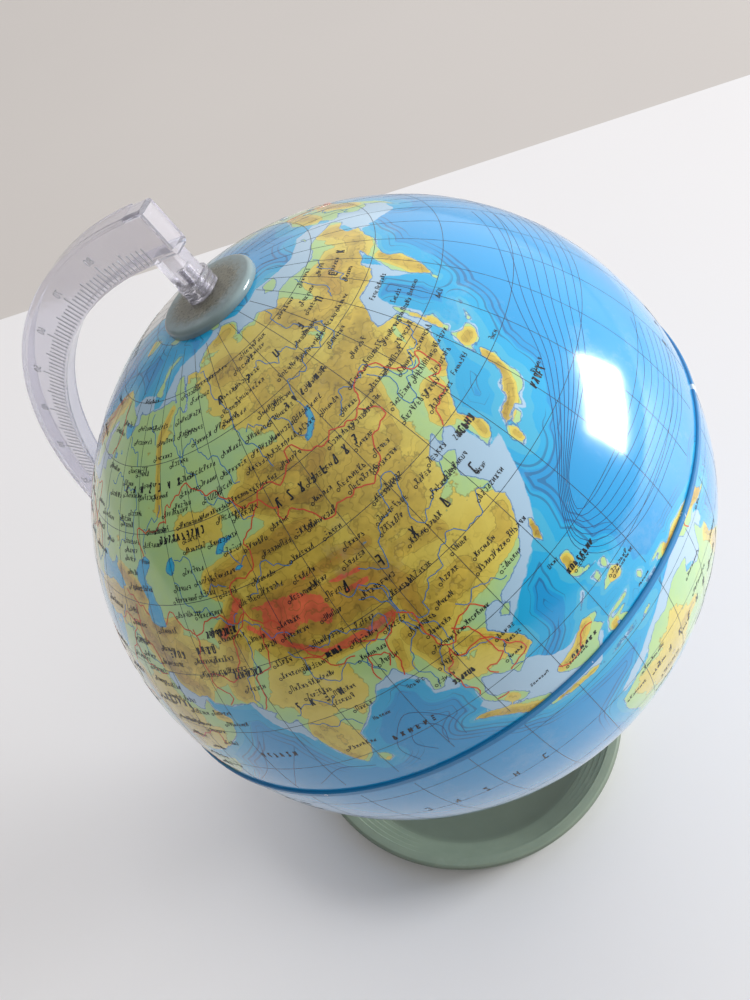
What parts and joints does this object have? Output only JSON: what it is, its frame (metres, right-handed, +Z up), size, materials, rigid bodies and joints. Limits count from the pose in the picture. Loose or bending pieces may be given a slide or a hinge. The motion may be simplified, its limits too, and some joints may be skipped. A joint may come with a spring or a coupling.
{
  "type": "desktop globe on stand",
  "caption": "Physical globe that spins on a tilted axis inside a clear half-circle arm with a degree scale, on a column in a round ridged dish base.",
  "frame": {"origin": "on the table under the middle of the round base, directly below the globe's centre", "axes": "+Z up; the arm stands in the XZ plane on the -X side, so the north pole leans towards -X; +Y is the open side of the arm's channel"},
  "size_m": [0.2328, 0.2016, 0.3011],
  "materials": {
    "sage_plastic": "matte moulded, faint texture",
    "felt": "felt",
    "screw_steel": "zinc plated",
    "clear_plastic": "clear polished, slightly lilac",
    "pin_steel": "turned",
    "map_north": "printed map under gloss lacquer",
    "map_south": "printed map under gloss lacquer",
    "inner_plastic": "plain moulded",
    "band_blue": "gloss, worn at the edges",
    "cap_plastic": "fine grained, rolled shiny edge"
  },
  "bodies": {
    "stand": {"base_dish": "sage_plastic", "felt_pad": "felt", "column": "sage_plastic", "base_screw": "screw_steel", "base_washer": "screw_steel", "meridian_arm": "clear_plastic", "north_pin": "pin_steel", "south_pin": "pin_steel"},
    "globe": {"north_hemisphere": "map_north", "south_hemisphere": "map_south", "joint_ring": "inner_plastic", "equator_band": "band_blue", "north_cap": "cap_plastic", "south_cap": "cap_plastic", "north_bush": "inner_plastic", "south_bush": "inner_plastic"}
  },
  "joints": [
    {"name": "globe_spin", "type": "hinge", "parent": "stand", "child": "globe", "pos_m": [0, 0, 0.1785], "axis": [-0.3987, 0, 0.9171], "continuous": true}
  ]
}
